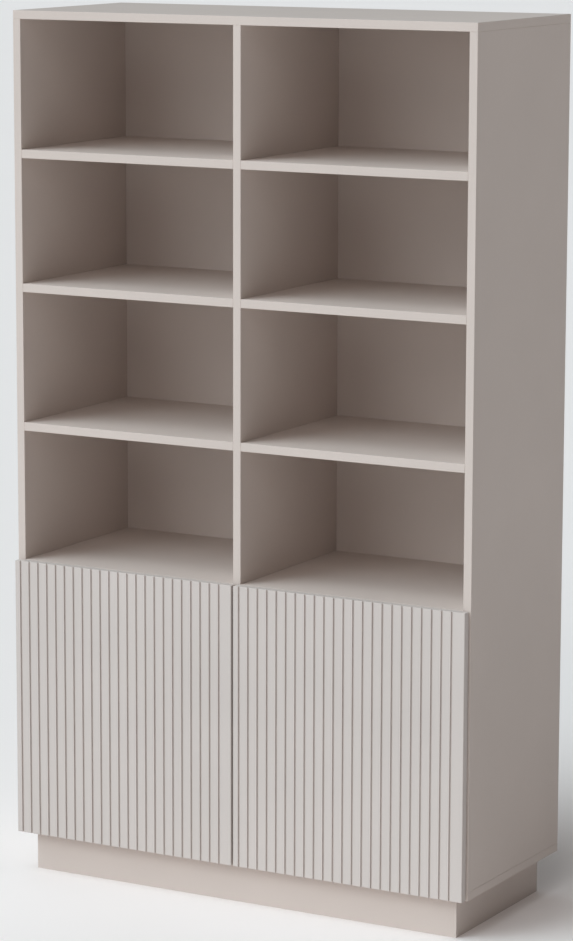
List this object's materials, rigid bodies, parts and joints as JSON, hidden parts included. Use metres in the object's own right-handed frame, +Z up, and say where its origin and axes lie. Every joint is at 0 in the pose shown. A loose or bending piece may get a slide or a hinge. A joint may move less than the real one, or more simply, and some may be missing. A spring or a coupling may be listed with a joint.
{
  "type": "bookcase with cabinet doors",
  "caption": "Tall free-standing bookcase with open shelves beside a centre divider, above a cabinet with fluted push-open doors on concealed hinges and a set-back plinth.",
  "frame": {"origin": "centre of the footprint at floor level", "axes": "+X to the right, +Z up, the doors face -Y"},
  "size_m": [0.968, 0.402, 1.66],
  "materials": {
    "laminate": "satin melamine laminate on board, one pale greige colour",
    "back_board": "thin fibreboard, laminated on the inside",
    "steel": "nickel-plated pressed steel",
    "plain_wood": "plain beech",
    "latch_plastic": "moulded grey plastic"
  },
  "bodies": {
    "carcass": {"back_panel_left": "back_board", "back_panel_right": "back_board", "bottom_panel": "laminate", "cabinet_shelf_left": "laminate", "cabinet_shelf_right": "laminate", "cabinet_top_left": "laminate", "cabinet_top_right": "laminate", "centre_divider": "laminate", "hinge_plates": "steel", "left_latch_sleeve": "latch_plastic", "left_side_panel": "laminate", "lower_left_hinge_arm": "steel", "lower_right_hinge_arm": "steel", "lower_shelf_left": "laminate", "lower_shelf_right": "laminate", "middle_shelf_left": "laminate", "middle_shelf_right": "laminate", "plinth_back": "laminate", "plinth_blocks": "plain_wood", "plinth_front": "laminate", "plinth_left": "laminate", "plinth_right": "laminate", "right_latch_sleeve": "latch_plastic", "right_side_panel": "laminate", "shelf_pins": "steel", "top_panel": "laminate", "upper_left_hinge_arm": "steel", "upper_right_hinge_arm": "steel", "upper_shelf_left": "laminate", "upper_shelf_right": "laminate"},
    "left_inner_links": {"lower_left_inner_link": "steel", "upper_left_inner_link": "steel"},
    "left_leaf": {"left_door": "laminate", "lower_left_hinge_cup": "steel", "upper_left_hinge_cup": "steel"},
    "left_outer_links": {"lower_left_outer_link": "steel", "upper_left_outer_link": "steel"},
    "left_plunger": {"left_latch_plunger": "latch_plastic"},
    "right_inner_links": {"lower_right_inner_link": "steel", "upper_right_inner_link": "steel"},
    "right_leaf": {"lower_right_hinge_cup": "steel", "right_door": "laminate", "upper_right_hinge_cup": "steel"},
    "right_outer_links": {"lower_right_outer_link": "steel", "upper_right_outer_link": "steel"},
    "right_plunger": {"right_latch_plunger": "latch_plastic"}
  },
  "joints": [
    {"name": "left_outer_link_turn", "type": "hinge", "parent": "carcass", "child": "left_outer_links", "pos_m": [-0.449, -0.159, 0.34575], "axis": [0, 0, -1], "range_deg": [-23.75, 0]},
    {"name": "left_door_swing", "type": "hinge", "parent": "left_outer_links", "child": "left_leaf", "pos_m": [-0.4714, -0.189, 0.34575], "axis": [0, 0, -1], "range_deg": [0, 118.75]},
    {"name": "left_inner_link_turn", "type": "hinge", "parent": "carcass", "child": "left_inner_links", "pos_m": [-0.4403, -0.182, 0.34575], "axis": [0, 0, -1], "range_deg": [-25.5, 0]},
    {"name": "left_latch_push", "type": "slide", "parent": "carcass", "child": "left_plunger", "axis": [0, -1, 0], "range_m": [0, 0.02]},
    {"name": "right_outer_link_turn", "type": "hinge", "parent": "carcass", "child": "right_outer_links", "pos_m": [0.449, -0.159, 0.34575], "axis": [0, 0, 1], "range_deg": [-23.75, 0]},
    {"name": "right_door_swing", "type": "hinge", "parent": "right_outer_links", "child": "right_leaf", "pos_m": [0.4714, -0.189, 0.34575], "axis": [0, 0, 1], "range_deg": [0, 118.75]},
    {"name": "right_inner_link_turn", "type": "hinge", "parent": "carcass", "child": "right_inner_links", "pos_m": [0.4403, -0.182, 0.34575], "axis": [0, 0, 1], "range_deg": [-25.5, 0]},
    {"name": "right_latch_push", "type": "slide", "parent": "carcass", "child": "right_plunger", "axis": [0, -1, 0], "range_m": [0, 0.02]}
  ],
  "couplings": [
    {"joint": "left_outer_link_turn", "follows": "left_door_swing", "ratio": -0.2},
    {"joint": "left_inner_link_turn", "follows": "left_door_swing", "ratio": -0.2144},
    {"joint": "left_latch_push", "follows": "left_door_swing", "m_per_rad": 0.0096},
    {"joint": "right_outer_link_turn", "follows": "right_door_swing", "ratio": -0.2},
    {"joint": "right_inner_link_turn", "follows": "right_door_swing", "ratio": -0.2144},
    {"joint": "right_latch_push", "follows": "right_door_swing", "m_per_rad": 0.0096}
  ]
}
